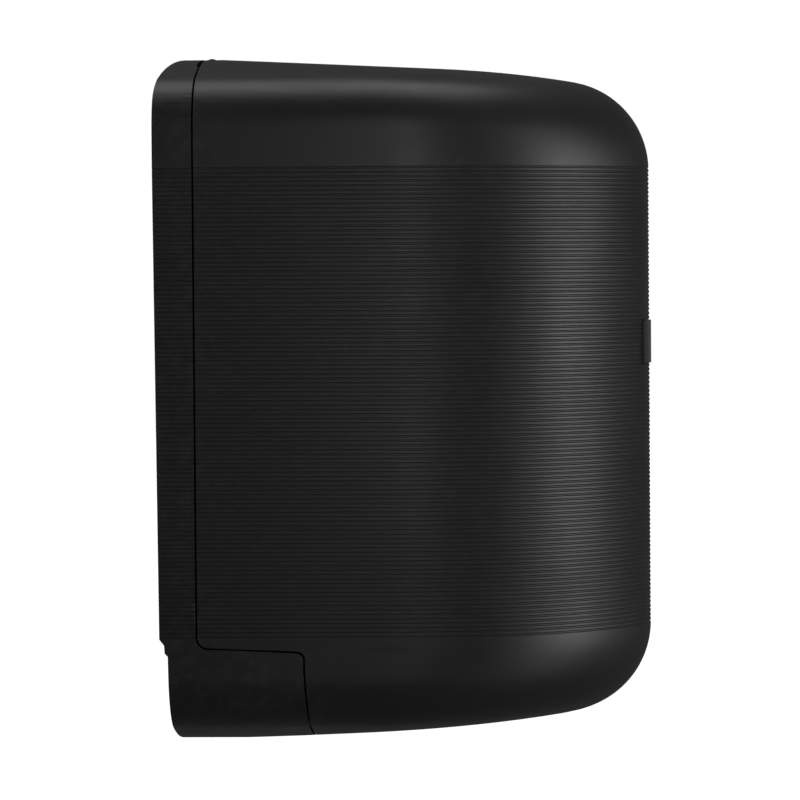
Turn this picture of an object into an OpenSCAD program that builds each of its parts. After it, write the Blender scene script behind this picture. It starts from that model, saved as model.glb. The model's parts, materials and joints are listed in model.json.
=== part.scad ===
// Wall mounted touch-free soap dispenser: a ribbed hood cover over a rear
// housing, with the tank, battery box, gear pump and lock inside.
// Units are millimetres. +Z is up, the wall is the plane Y = 0 and the
// front faces -Y. The origin is the centre of the four wall screw holes.
// Depths called "depth" are measured from the wall, so Y = -depth.

/* [Case] */
// Full height of the case at the seam
case_height = 251.2; // [245:0.1:258]
// Depth of the case from the wall to the nose
case_depth = 177.5; // [174:0.5:184]
// Full width of the case
case_width = 138; // [136:1:146]
// Thickness of the moulded walls
wall = 2.4; // [2:0.1:3]
// Thickness of the housing's back panel
back_wall = 3; // [2.5:0.1:4]
// Gap all round between the cover and the housing
seam_gap = 0.7; // [0.5:0.1:0.9]
// Depth of the housing strip that shows behind the cover
strip_depth = 14.1; // [13.5:0.1:15]

/* [Wall fixing] */
// Distance across between the wall screw holes
hole_across = 100; // [98:1:102]
// Distance up and down between the wall screw holes
hole_updown = 150; // [146:1:152]
// Radius of each wall screw hole
hole_r = 2.6; // [2.2:0.1:3]

/* [Tank] */
// Half width of the soap tank
tank_half = 42; // [38:1:42]
// Height of the tank's top face
tank_top = 82; // [70:1:84]
// Thickness of the tank's walls
tank_wall = 2.2; // [1.8:0.1:2.8]
// Radius of the filling mouth
mouth_r = 20; // [16:0.5:21]

/* [Batteries] */
// Radius of one C cell
cell_r = 13.1; // [12.8:0.1:13.1]
// Length of one C cell
cell_len = 50; // [48:0.5:50]

/* [Pump] */
// Distance between the two pump gear axes
gear_gap = 14; // [13.9:0.05:14.1]
// Width of the pump gears' teeth
gear_width = 9; // [7:0.5:9.4]

/* [Window] */
// Half width of the level window
window_half = 14.5; // [11:0.5:16]
// Height of the level window
window_height = 15.7; // [12:0.1:18]
// How far the window stands out of the cover
window_proud = 0.65; // [0.3:0.05:0.9]

/* [Hidden] */
$fn = 64;
BIG = 400;
half_h = case_height / 2;
half_w = case_width / 2;

// How far neighbouring stretches of an outline overlap
lap = 20;

// Plan outline: flat sides, one wide arc each side and a nose arc.
nose_r = 38;
side_end = 85;
nose_c = case_depth - nose_r;
flank_r = (pow(half_w, 2) + pow(nose_c - side_end, 2) - pow(nose_r, 2))
        / (2 * (half_w - nose_r));
flank_c = half_w - flank_r;
nose_turn = atan2(nose_c - side_end, -flank_c);

// Upright outlines: slow taper, one long arc and a shoulder arc. "b" is how
// far round from the side the outline faces; 90 is straight to the front.
corner_cuts = [22.5, 45, 67.5];
function reach(b) = b < nose_turn
    ? flank_c * cos(b) + side_end * sin(b) + flank_r
    : nose_c * sin(b) + nose_r;
function taper_end(b) = 0.5915 * reach(b) - 6 * pow(cos(b), 2);
function taper_drop(b) = 4.5 - 0.7 * pow(cos(b), 2);
function taper_start(b) = strip_depth + 5 * cos(b);
function crown_r(b) = 373 - 210 * (1 - sin(b));
function shoulder_r(b) = 33 - 12.5 * (1 - sin(b));

// Front outline: straight sides, corner arcs and a wide arch.
corner_r = 20;
corner_x = half_w - corner_r;
corner_z = half_h - 27.6;
arch_rise = half_h - corner_z;
arch_r = (pow(corner_x, 2) + pow(arch_rise, 2) - pow(corner_r, 2))
       / (2 * (arch_rise - corner_r));
arch_z = half_h - arch_r;
arch_end = arch_r * corner_x / (arch_r - corner_r);

// Seam between the cover and the housing's lower block.
block_top = -87.8;
block_slope = 1.2;
block_depth = 52.6;
block_lean = 2;
block_lean_from = -96;
corner_back = 4.6;
corner_front = 3;

// Cover hinge.
hinge_d = strip_depth + seam_gap + 2.4;
hinge_z = half_h - 2.7;
pin_r = 1;
knuckle_r = 2.5;
knuckle_in = 5;
knuckle_out = 15;
lug_out = 20.2;
run_fit = 0.05;

// Chassis and pump line.
shelf_top = -41;
shelf_t = 3;
box_half = 24;
box_wall = 2.5;
deck_z = -118;
deck_front = 113;
pump_d = 96;
gear_z = -78;
pump_half = 19;
pump_top = -64;
pump_bottom = -92;
pump_back = 89;
pump_front = 103;
motor_r = 12.2;
motor_back = 57;
shaft_r = 1.5;
axle_r = 2;
teeth = 14;
port_r = 2.5;
tube_r = 4;

// Tank neck and outlet.
mouth_d = 105;
neck_h = 9;
outlet_r = 10;

// Screw places, as how far from the middle and the two heights.
chassis_screw_x = 36;
chassis_screw_z = [-78, 96];
box_screw_x = 24;
box_screw_z = [-34, 92];
board_screw_x = 17;
board_screw_z = [-81, -47];
pump_screw_x = 16.5;
pump_screw_z = 11.5;

// Lamp and sensor in the deck.
lamp_d = 57;
sensor_d = 72;

// Battery box.
cells_gap = 0.6;
bay_half = 2 * cell_r + 1.5;
bay_wall = 2;
bay_back = 11;
bay_front = bay_back + bay_wall + 2 * cell_r + 1.4;
bay_bottom = -30;
contact_space = 5;
bay_top = bay_bottom + 2 * bay_wall + 2 * cell_len + 2 * contact_space + 1;
door_t = 2.2;
door_free = 0.3;

// Lock and the cover's catch.
lock_x = 42;
lock_d = 34;
lock_r = 6;
lock_face = -119.6;
lock_square = 2.5;
cam_z = -108;
cam_t = 2.5;
cam_reach = 11.5;
cam_half = 3;
catch_x = 28.5;
catch_t = 4;
catch_low = -116;
catch_top = -110.5;
catch_foot = -117.6;
foot_t = 1.8;
stud_x = 38;
stud_d = [60, 68];
stud_r = 1.5;
stud_foot = -120.5;

// Window.
window_z = 20.3;
gasket_t = 1;
flange_t = 1.2;

// Power switch.
switch_x = 33;
switch_z = -58;
switch_d = 20;
rocker_tilt = 7;
rocker_pin_r = 1.2;

// ---- helpers ----

// A box from one corner to the other, given as X, depth and Z ranges.
module block(x0, x1, d0, d1, z0, z1)
    translate([x0, -d1, z0]) cube([x1 - x0, d1 - d0, z1 - z0]);

// The same box on both sides of the middle.
module pair() {
    children();
    mirror([1, 0, 0]) children();
}

// A rod along the depth, from the deeper end to the shallower end.
module rod_y(x, z, r, d0, d1)
    translate([x, -d0, z]) rotate([90, 0, 0]) cylinder(h = d1 - d0, r = r);

// A rod standing upright.
module rod_z(x, d, r, z0, z1)
    translate([x, -d, z0]) cylinder(h = z1 - z0, r = r);

// A rod lying across.
module rod_x(d, z, r, x0, x1)
    translate([x0, -d, z]) rotate([0, 90, 0]) cylinder(h = x1 - x0, r = r);

// Stretches a side outline, drawn as [-depth, z], right across the part.
module across()
    translate([-BIG / 2, 0, 0]) rotate([90, 0, 90])
        linear_extrude(BIG) children();

// ---- outlines of the case, moved in by "s" ----

module plan2d(s) {
    w = half_w - s;
    nose_start = nose_c + (nose_r - s) * sin(nose_turn);
    translate([-w, -side_end]) square([2 * w, side_end + 50]);
    intersection() {
        translate([flank_c, -side_end]) circle(flank_r - s, $fn = 200);
        translate([-flank_c, -side_end]) circle(flank_r - s, $fn = 200);
        translate([-w, -nose_start])
            square([2 * w, nose_start - side_end + lap]);
    }
    translate([0, -nose_c]) circle(nose_r - s, $fn = 100);
}

// Upright outline facing "b" round from the side, as [-distance, z].
module upright2d(b, s) {
    turn = atan(taper_drop(b) / (taper_end(b) - taper_start(b)));
    down = s / cos(turn);
    high = half_h - taper_drop(b);
    crown_d = taper_end(b) - crown_r(b) * sin(turn);
    crown_z = high - crown_r(b) * cos(turn);
    shoulder_d = reach(b) - shoulder_r(b);
    both = crown_r(b) - shoulder_r(b);
    shoulder_z = crown_z + sqrt(pow(both, 2) - pow(shoulder_d - crown_d, 2));
    crown_end = crown_d + crown_r(b) * (shoulder_d - crown_d) / both;
    polygon([[BIG / 2, half_h - down], [-taper_start(b), half_h - down],
        [-taper_end(b), high - down], [-taper_end(b), down - high],
        [-taper_start(b), down - half_h], [BIG / 2, down - half_h]]);
    intersection() {
        translate([-crown_d, crown_z]) circle(crown_r(b) - s, $fn = 200);
        translate([-crown_d, -crown_z]) circle(crown_r(b) - s, $fn = 200);
        translate([-crown_end, -half_h])
            square([crown_end - taper_end(b) + lap, case_height]);
    }
    translate([s - reach(b), -shoulder_z])
        square([reach(b) - s - taper_end(b) + lap, 2 * shoulder_z]);
    for (m = [0, 1]) mirror([0, m])
        translate([-shoulder_d, shoulder_z])
            circle(shoulder_r(b) - s, $fn = 100);
}

module front2d(s) {
    w = half_w - s;
    translate([-w, -corner_z]) square([2 * w, 2 * corner_z]);
    intersection() {
        translate([0, arch_z]) circle(arch_r - s, $fn = 200);
        translate([0, -arch_z]) circle(arch_r - s, $fn = 200);
        translate([-arch_end, -half_h]) square([2 * arch_end, case_height]);
    }
    for (mx = [0, 1], mz = [0, 1]) mirror([mx, 0]) mirror([0, mz])
        translate([corner_x, corner_z]) circle(corner_r - s, $fn = 64);
}

// The whole case as one solid, moved in by "s" on every side but the wall.
module case_solid(s)
    intersection() {
        translate([0, 0, -BIG / 2]) linear_extrude(BIG) plan2d(s);
        across() upright2d(90, s);
        translate([0, BIG / 2, 0]) rotate([90, 0, 0])
            linear_extrude(BIG) front2d(s);
        intersection_for (b = corner_cuts, m = [0, 1])
            mirror([m, 0, 0]) rotate([0, 0, 90 - b])
                across() upright2d(b, s);
    }

// Side outline of the lower block, grown outwards by "g".
module block2d(g) {
    front = block_depth + g;
    top = block_top + g;
    low = top - block_slope;
    back = -strip_depth - corner_back;
    polygon([[0, top], [-24, top], [corner_front - front, low],
        [-front, low - corner_front], [-front, block_lean_from],
        [-front - block_lean, -half_h - 2], [0, -half_h - 2]]);
    translate([corner_front - front, low - corner_front])
        circle(corner_front, $fn = 40);
    // hollow corner where the block's top meets the strip
    difference() {
        translate([back, top - 1])
            square([corner_back + 1, corner_back - g + 1]);
        translate([back, block_top + corner_back])
            circle(corner_back - g, $fn = 40);
    }
}

// Side outline of the rear housing's outside.
module rear2d() {
    top_d = 7;
    top_h = 17;
    intersection() {
        polygon(concat(
            [for (a = [0 : 10 : 90])
                [top_d * (cos(a) - 1), half_h - 0.6 - top_h * (1 - sin(a))]],
            [[-strip_depth, half_h - 0.6], [-strip_depth - 50, half_h],
             [-strip_depth - 50, -half_h - 5], [-6.3, -half_h + 0.6],
             [-5, -half_h + 1.2], [-4.7, -half_h + 3], [-4.1, -90.1],
             [-3, -88.9], [-2.8, -86.1], [-1.1, -83.9], [0, 81]]));
        union() {
            translate([-strip_depth, -half_h - 5])
                square([strip_depth, case_height + 5]);
            block2d(0);
        }
    }
}

// ---- rear housing ----

module wall_holes(r, d0, d1)
    for (x = [-1, 1], z = [-1, 1])
        rod_y(x * hole_across / 2, z * hole_updown / 2, r, d0, d1);

module rear_housing() color([0.05, 0.05, 0.055]) {
    pad_half = 57;
    difference() {
        union() {
            difference() {
                intersection() {
                    case_solid(0);
                    across() rear2d();
                }
                // hollow, open to the front and under the cover
                difference() {
                    case_solid(wall);
                    block(-BIG, BIG, -BIG, back_wall + 1.2, -BIG, BIG);
                    block(-BIG, BIG, -BIG, 8, -BIG, block_top);
                    block(-BIG, BIG, block_depth - wall, BIG, -BIG,
                        block_top + 1);
                }
            }
            // flat pad that meets the wall
            block(-pad_half, pad_half, 0, back_wall + 1.2, -80, 81);
            wall_holes(7, 1, back_wall + 3);
            housing_bosses();
            hinge_knuckles();
            // stiffening ribs between the pad and the side walls
            for (z = [-50, -25, 0, 25, 50]) pair()
                block(44, half_w - 1, back_wall, 8, z - 0.8, z + 0.8);
            // lock boss in the lower block
            intersection() {
                case_solid(0.2);
                rod_z(lock_x, lock_d, 8, -half_h, cam_z - 0.4);
            }
        }
        wall_holes(hole_r, -1, back_wall + 4);
        wall_holes(4.8, back_wall + 1.8, back_wall + 4);
        rod_z(lock_x, lock_d, lock_r + run_fit, -half_h - 1, cam_z + 1);
        for (x = [-1, 1], z = chassis_screw_z)
            rod_y(x * chassis_screw_x, z, 1.25, back_wall - 1, 20);
        rod_x(hinge_d, hinge_z, pin_r + run_fit, -lug_out, lug_out);
        // room for the cover's top edge to swing
        for (x = [[-38, -knuckle_out - 0.2], [0.2 - knuckle_in,
            knuckle_in - 0.2], [knuckle_out + 0.2, 38]])
            rod_x(hinge_d, hinge_z, 4, x[0], x[1]);
        // way through for the chassis and for the cover's catch
        block(-box_half - 0.6, box_half + 0.6, block_depth - 4,
            block_depth + 5, deck_z - 0.4, block_top + 5);
        block(catch_x - 1.2, catch_x + catch_t + 1.2, block_depth - 4,
            block_depth + 5, -117.5, block_top + 5);
    }
}

// Screw posts for the chassis.
module housing_bosses()
    for (x = [-1, 1], z = chassis_screw_z)
        rod_y(x * chassis_screw_x, z, 3.6, back_wall, 6);

module hinge_knuckles()
    pair() {
        rod_x(hinge_d, hinge_z, knuckle_r, knuckle_in, knuckle_out);
        block(knuckle_in, knuckle_out, 9, hinge_d, hinge_z - knuckle_r,
            hinge_z + knuckle_r - 0.6);
    }

// ---- front cover and what rides on it ----

module front_cover() color([0.05, 0.05, 0.055]) {
    rear = strip_depth + seam_gap;
    difference() {
        union() {
            difference() {
                case_solid(0);
                case_solid(wall);
                block(-BIG, BIG, -BIG, rear, -BIG, BIG);
                across() block2d(seam_gap);
            }
            cover_lugs();
            catch_studs();
        }
        // slot in the underside for the chassis deck
        block(-box_half - 0.8, box_half + 0.8, 0, deck_front + 0.8,
            -BIG, -100);
        // opening for the window
        block(-window_half - 0.2, window_half + 0.2, 160, BIG,
            window_z - window_height / 2 - 0.2,
            window_z + window_height / 2 + 0.2);
        // notches round the housing's knuckles
        pair() block(knuckle_in - 0.3, knuckle_out + 0.3, 0,
            hinge_d + knuckle_r + 0.5, 100, BIG);
        rod_x(hinge_d, hinge_z, pin_r, -lug_out, -1);
        rod_x(hinge_d, hinge_z, pin_r, 1, lug_out);
    }
}

module cover_lugs()
    intersection() {
        case_solid(0.2);
        union() {
            for (x = [[-lug_out, -knuckle_out - 0.3],
                [0.3 - knuckle_in, knuckle_in - 0.3],
                [knuckle_out + 0.3, lug_out]]) {
                rod_x(hinge_d, hinge_z, 2.4, x[0], x[1]);
                block(x[0], x[1], hinge_d, hinge_d + 9, hinge_z - 2.4, 130);
            }
        }
    }

// Bosses in the cover's floor, with studs melted over to hold the catch.
module catch_studs()
    for (d = stud_d) {
        rod_z(stud_x, d, 2 * stud_r, stud_foot, catch_foot - 0.05);
        rod_z(stud_x, d, stud_r, stud_foot, catch_foot + foot_t + 0.9);
        rod_z(stud_x, d, stud_r + 1, catch_foot + foot_t + 0.1,
            catch_foot + foot_t + 0.9);
    }

// Hook that the lock's cam holds, on a foot above the cover's floor.
module cover_catch() color([0.7, 0.7, 0.72]) {
    back = lock_d - 9;
    difference() {
        union() {
            block(catch_x, catch_x + catch_t, back, 66, catch_low,
                catch_top);
            block(catch_x, catch_x + catch_t, back,
                lock_d - cam_half - 0.6, catch_low, cam_z + 5);
            block(catch_x - 2, stud_x + 4, block_depth + 4, 72,
                catch_foot, catch_foot + foot_t);
        }
        for (d = stud_d)
            rod_z(stud_x, d, stud_r + run_fit, -half_h, -100);
    }
}

module hinge_pins() color([0.7, 0.7, 0.72])
    pair() rod_x(hinge_d, hinge_z, pin_r, 1.4, lug_out - 0.6);

// A band that follows the nose arc between two radii.
module nose_band(r_in, r_out, half, tall)
    translate([0, 0, window_z - tall / 2]) linear_extrude(tall)
        intersection() {
            difference() {
                translate([0, -nose_c]) circle(r_out, $fn = 100);
                translate([0, -nose_c]) circle(r_in, $fn = 100);
            }
            translate([-half, -case_depth - 5]) square([2 * half, 30]);
        }

module level_window() color([0.03, 0.03, 0.035]) {
    inner = nose_r - wall - gasket_t;
    nose_band(inner - 0.01, nose_r + window_proud, window_half,
        window_height);
    nose_band(inner - flange_t, inner, window_half + 4, window_height + 8);
}

module window_gasket() color([0.12, 0.12, 0.12])
    difference() {
        nose_band(nose_r - wall - gasket_t, nose_r - wall,
            window_half + 3.6, window_height + 7.2);
        nose_band(nose_r - 10, nose_r + 2, window_half + 0.1,
            window_height + 0.2);
    }

// ---- chassis ----

module chassis() color([0.42, 0.43, 0.45]) {
    plate_d = 6;
    plate_t = 2.5;
    difference() {
        union() {
            // back plate
            block(-42, 42, plate_d, plate_d + plate_t, -86, 102);
            // shelf under the tank, with a lip down its front
            translate([0, 0, shelf_top - shelf_t]) linear_extrude(shelf_t)
                shelf2d(plate_d);
            translate([0, 0, shelf_top - shelf_t - 5]) linear_extrude(6)
                shelf2d(150);
            // pump compartment
            pair() block(box_half - box_wall, box_half,
                plate_d + plate_t - 0.2, deck_front, deck_z,
                shelf_top - 0.1);
            block(-box_half, box_half, deck_front - box_wall, deck_front,
                deck_z, shelf_top - 0.1);
            block(-box_half, box_half, 48, deck_front, deck_z,
                deck_z + box_wall);
            // gussets under the shelf
            for (d = [30, 65, 100]) pair()
                across_gusset(d);
            // switch panel
            block(box_half - 1, 43, switch_d - 2, switch_d,
                shelf_top - 32, shelf_top - 1);
            // posts for the battery box
            for (x = [-1, 1], z = box_screw_z)
                rod_y(x * box_screw_x, z, 3, plate_d, bay_back);
            // posts for the circuit board
            for (x = [-1, 1], z = board_screw_z)
                rod_y(x * board_screw_x, z, 2.6, plate_d, 12);
            // lamp, sensor and nozzle wells
            block(-9, 9, sensor_d - 10, sensor_d + 10, deck_z, deck_z + 5);
            rod_z(0, lamp_d, 4, deck_z, deck_z + 5);
            rod_z(0, pump_d, 9, deck_z, deck_z + 6);
            // cradle under the pump
            block(-14, -10, pump_back + 1, pump_front - 1, deck_z,
                pump_bottom);
            block(10, 14, pump_back + 1, pump_front - 1, deck_z,
                pump_bottom);
        }
        // outlet hole in the shelf
        rod_z(0, pump_d, 13, shelf_top - shelf_t - 1, shelf_top + 1);
        // screw holes
        for (x = [-1, 1], z = chassis_screw_z)
            rod_y(x * chassis_screw_x, z, 1.8, 0, 20);
        for (x = [-1, 1], z = box_screw_z)
            rod_y(x * box_screw_x, z, 1.25, plate_d + 1, 20);
        for (x = [-1, 1], z = board_screw_z)
            rod_y(x * board_screw_x, z, 1, plate_d + 1, 20);
        // light, sensor and nozzle openings in the deck
        block(-7.1, 7.1, sensor_d - 8.1, sensor_d + 8.1, deck_z - 1,
            deck_z + 6);
        rod_z(0, lamp_d, 2.1, deck_z - 1, deck_z + 6);
        rod_z(0, pump_d, 6.1, deck_z - 1, deck_z + 7);
        // switch opening
        block(switch_x - 6.6, switch_x + 6.6, 0, 30, switch_z - 10.1,
            switch_z + 10.1);
    }
}

// Outline of the shelf seen from above, from depth "d0" to its front.
module shelf2d(d0)
    intersection() {
        plan2d(5);
        translate([-tank_half, -152.5]) square([2 * tank_half, 152.5 - d0]);
    }

// Triangular web between a pump compartment wall and the shelf.
module across_gusset(d)
    translate([0, -d, 0]) rotate([90, 0, 0]) linear_extrude(1.8)
        polygon([[box_half - 0.5, shelf_top - shelf_t + 0.5],
            [tank_half - 2, shelf_top - shelf_t + 0.5],
            [box_half - 0.5, shelf_top - 20]]);

module chassis_screws() color([0.7, 0.7, 0.72])
    for (x = [-1, 1], z = chassis_screw_z)
        screw_y(x * chassis_screw_x, z, 8.5, 1.25, 4.5, 2.8);

// A pan head screw pointing at the wall: head on "d", shank behind it.
module screw_y(x, z, d, shank_r, shank, head_r)
    difference() {
        union() {
            rod_y(x, z, head_r, d, d + 1.8);
            rod_y(x, z, shank_r, d - shank, d + 0.5);
        }
        block(x - 0.4, x + 0.4, d + 1, d + 2, z - 1.8, z + 1.8);
        block(x - 1.8, x + 1.8, d + 1, d + 2, z - 0.4, z + 0.4);
    }

// ---- tank ----

// Outline of the tank seen from above, moved in by "s".
module tank2d(s)
    intersection() {
        plan2d(6 + s);
        translate([-tank_half + s, -case_depth])
            square([2 * (tank_half - s), case_depth - 56 - s]);
    }

module tank_block(s)
    translate([0, 0, shelf_top + s])
        linear_extrude(tank_top - shelf_top - 2 * s) tank2d(s);

module soap_tank() color([0.85, 0.88, 0.9, 0.55]) {
    difference() {
        union() {
            tank_block(0);
            rod_z(0, mouth_d, mouth_r + 2, tank_top - 1, tank_top + neck_h);
            rod_z(0, mouth_d, mouth_r + 6, tank_top - 1, tank_top + 1.5);
            rod_z(0, pump_d, outlet_r, shelf_top - 6, shelf_top + 1);
            rod_z(0, pump_d, tube_r + 0.4, shelf_top - 9, shelf_top - 5);
            // moulded bands that stiffen the sides
            for (z = [-15, 10, 35, 60])
                translate([0, 0, z]) linear_extrude(3) tank2d(-0.8);
        }
        tank_block(tank_wall);
        rod_z(0, mouth_d, mouth_r, tank_top - 5, tank_top + neck_h + 1);
        rod_z(0, pump_d, 7, shelf_top - 4, shelf_top + 5);
        rod_z(0, pump_d, port_r, shelf_top - 10, shelf_top);
    }
}

// Seal round the outlet, in the shelf's hole.
module outlet_seal() color([0.15, 0.15, 0.15])
    translate([0, -pump_d, shelf_top - 2.2]) rotate_extrude()
        translate([outlet_r + 1.5, 0]) circle(1.4, $fn = 32);

module fill_cap() color([0.1, 0.1, 0.11]) {
    rim = tank_top + neck_h;
    free = 0.3;
    difference() {
        union() {
            rod_z(0, mouth_d, mouth_r + 5, rim - 6, rim + 3.5);
            for (a = [0 : 15 : 345])
                translate([0, -mouth_d, rim - 5.5]) rotate([0, 0, a])
                    translate([mouth_r + 5, 0, 0])
                        cylinder(h = 8, r = 0.8, $fn = 24);
            block(-mouth_r + 2, mouth_r - 2, mouth_d - 2.2, mouth_d + 2.2,
                rim + 3, rim + 10);
        }
        rod_z(0, mouth_d, mouth_r + 2 + free, rim - 7, rim + free);
    }
    difference() {
        rod_z(0, mouth_d, mouth_r - 1.6, rim - 8, rim + 1);
        rod_z(0, mouth_d, mouth_r - 4, rim - 9, rim - 1);
    }
}

// Ring on the cap's plug.
module cap_seal() color([0.15, 0.15, 0.15])
    translate([0, -mouth_d, tank_top + 4]) rotate_extrude()
        translate([mouth_r - 1.6, 0])
            intersection() {
                circle(1.2, $fn = 32);
                translate([0, -2]) square([3, 4]);
            }

// ---- batteries ----

module battery_box() color([0.1, 0.1, 0.11]) {
    outer = bay_half + bay_wall;
    difference() {
        union() {
            block(-outer, outer, bay_back, bay_front, bay_bottom, bay_top);
            // rails for the sliding door
            pair() block(outer - 2.4, outer + 1.2, bay_front - 4,
                bay_front + door_t + 2.4, bay_bottom, bay_top);
            block(-outer, outer, bay_front - 1,
                bay_front + door_t + 2.4, bay_bottom, bay_bottom + 2);
            // fixing tabs
            for (x = [-1, 1]) {
                block(x * box_screw_x - 4, x * box_screw_x + 4, bay_back,
                    bay_back + 2.2, bay_bottom - 8, bay_bottom + 1);
                block(x * box_screw_x - 4, x * box_screw_x + 4, bay_back,
                    bay_back + 2.2, bay_top - 1, bay_top + 11);
            }
        }
        // cell bay, open to the front
        block(-bay_half, bay_half, bay_back + bay_wall, BIG,
            bay_bottom + bay_wall, bay_top - bay_wall);
        // groove for the door
        block(-outer + 1.2 - 0.6, outer - 1.2 + 0.6, bay_front,
            bay_front + door_t + 2 * door_free, bay_bottom + bay_wall, BIG);
        for (x = [-1, 1], z = box_screw_z)
            rod_y(x * box_screw_x, z, 1.6, 0, 20);
    }
    // bar between the two columns of cells
    block(-0.6, 0.6, bay_back + 1, bay_back + 7, bay_bottom + 1,
        bay_top - 1);
}

module battery_cells()
    for (x = [-1, 1], row = [0, 1]) {
        cx = x * (cell_r + 0.9);
        cd = bay_back + bay_wall + cell_r + 0.4;
        z0 = bay_bottom + bay_wall + contact_space
            + row * (cell_len + cells_gap);
        color([0.2, 0.22, 0.25]) {
            rod_z(cx, cd, cell_r, z0, z0 + cell_len - 1.6);
            rod_z(cx, cd, 3.4, z0 + cell_len - 2, z0 + cell_len);
        }
    }

// Sprung plates at the foot and flat plates at the head of each column.
module battery_contacts() color([0.8, 0.78, 0.7]) {
    cd = bay_back + bay_wall + cell_r + 0.4;
    top_z = bay_top - bay_wall;
    for (x = [-1, 1]) {
        cx = x * (cell_r + 0.9);
        block(cx - 8, cx + 8, cd - 9, cd + 9, bay_bottom + bay_wall,
            bay_bottom + bay_wall + 0.6);
        // coil turns, each a ring on the one below
        for (i = [0 : 3])
            translate([cx, -cd, bay_bottom + bay_wall + 1 + i * 1])
                rotate_extrude() translate([7 - i * 1.1, 0])
                    circle(0.5, $fn = 16);
    }
    block(-cell_r - 9, cell_r + 9, cd - 8, cd + 8, top_z - 0.6, top_z);
    for (x = [-1, 1]) rod_z(x * (cell_r + 0.9), cd, 4, top_z - 3.4, top_z);
}

module battery_door() color([0.1, 0.1, 0.11]) {
    half = bay_half + bay_wall - 1.2 + 0.3;
    z0 = bay_bottom + bay_wall + door_free;
    difference() {
        block(-half, half, bay_front + door_free,
            bay_front + door_free + door_t, z0, bay_top - 0.5);
        // finger recess
        for (i = [0 : 3])
            block(-10, 10, bay_front + door_t - 0.4, BIG,
                bay_top - 18 + i * 3, bay_top - 16.8 + i * 3);
    }
}

module battery_box_screws() color([0.7, 0.7, 0.72])
    for (x = [-1, 1], z = box_screw_z)
        screw_y(x * box_screw_x, z, bay_back + 2.2, 1.25, 5, 2.6);

// ---- electronics ----

module circuit_board() color([0.05, 0.25, 0.12])
    difference() {
        block(-20, 20, 12, 13.6, -84, -44);
        for (x = [-1, 1], z = board_screw_z)
            rod_y(x * board_screw_x, z, 1.3, 0, 20);
    }

module board_parts() color([0.12, 0.12, 0.13]) {
    face = 13.6;
    block(-6, 6, face, face + 1.6, -72, -60);
    block(-17, -9, face, face + 6, -60, -54);
    block(9, 17, face, face + 6, -60, -54);
    for (x = [-13, -4, 5]) rod_y(x, -77, 2.5, face, face + 7);
    block(10, 16, face, face + 4, -74, -66);
}

module board_screws() color([0.7, 0.7, 0.72])
    for (x = [-1, 1], z = board_screw_z)
        screw_y(x * board_screw_x, z, 13.6, 1, 4, 2.1);

module switch_body() color([0.08, 0.08, 0.08])
    difference() {
        union() {
            block(switch_x - 6.5, switch_x + 6.5, 9, switch_d,
                switch_z - 10, switch_z + 10);
            block(switch_x - 7.8, switch_x + 7.8, switch_d,
                switch_d + 1.5, switch_z - 11.4, switch_z + 11.4);
        }
        block(switch_x - 4.7, switch_x + 4.7, 12, BIG, switch_z - 8.8,
            switch_z + 8.8);
        rod_x(switch_d, switch_z, rocker_pin_r + run_fit, switch_x - 5.4,
            switch_x + 5.4);
    }

// The rocker rests tipped one way; its joint tips it to the other side.
module power_rocker() color([0.75, 0.1, 0.08]) {
    translate([switch_x - 4.3, -switch_d, switch_z])
        rotate([rocker_tilt, 0, 0]) rotate([90, 0, 90])
            linear_extrude(8.6)
                polygon([[2.5, -3], [2.5, 3], [0, 7.6], [-2.4, 7.8],
                    [-1.6, 0], [-2.4, -7.8], [0, -7.6]]);
    rod_x(switch_d, switch_z, rocker_pin_r, switch_x - 5.2, switch_x + 5.2);
}

module sensor_module() color([0.1, 0.1, 0.1]) {
    block(-8, 8, sensor_d - 9, sensor_d + 9, deck_z + 6.2, deck_z + 7.8);
    for (d = [-4, 4])
        rod_z(0, sensor_d + d, 2.5, deck_z + 3.2, deck_z + 6.4);
    block(-5, 5, sensor_d - 3, sensor_d + 3, deck_z + 7.6, deck_z + 11);
}

module sensor_lens() color([0.15, 0.02, 0.03, 0.8])
    block(-7, 7, sensor_d - 8, sensor_d + 8, deck_z + 0.6, deck_z + 2.4);

module status_lens() color([0.75, 0.85, 0.8, 0.8]) {
    rod_z(0, lamp_d, 2, deck_z + 0.2, deck_z + 6);
    rod_z(0, lamp_d, 3, deck_z + 5.1, deck_z + 6.4);
}

// ---- pump ----

module motor() color([0.6, 0.6, 0.62])
    difference() {
        union() {
            rod_y(-gear_gap / 2, gear_z, motor_r, motor_back,
                pump_back - 1.5);
            rod_y(-gear_gap / 2, gear_z, 5, motor_back - 2, pump_back);
            for (z = [-8, 8])
                block(-gear_gap / 2 - 1.5, -gear_gap / 2 + 1.5,
                    motor_back - 5, motor_back + 1, gear_z + z - 0.4,
                    gear_z + z + 0.4);
        }
        rod_y(-gear_gap / 2, gear_z, shaft_r + run_fit, motor_back + 8,
            pump_back + 1);
        // flats on both sides of the can
        for (x = [-1, 1])
            block(-gear_gap / 2 + x * (motor_r - 0.6) - 1,
                -gear_gap / 2 + x * (motor_r - 0.6) + (x > 0 ? 3 : 0),
                motor_back - 1, pump_back - 2, gear_z - 8, gear_z + 8);
    }

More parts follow.
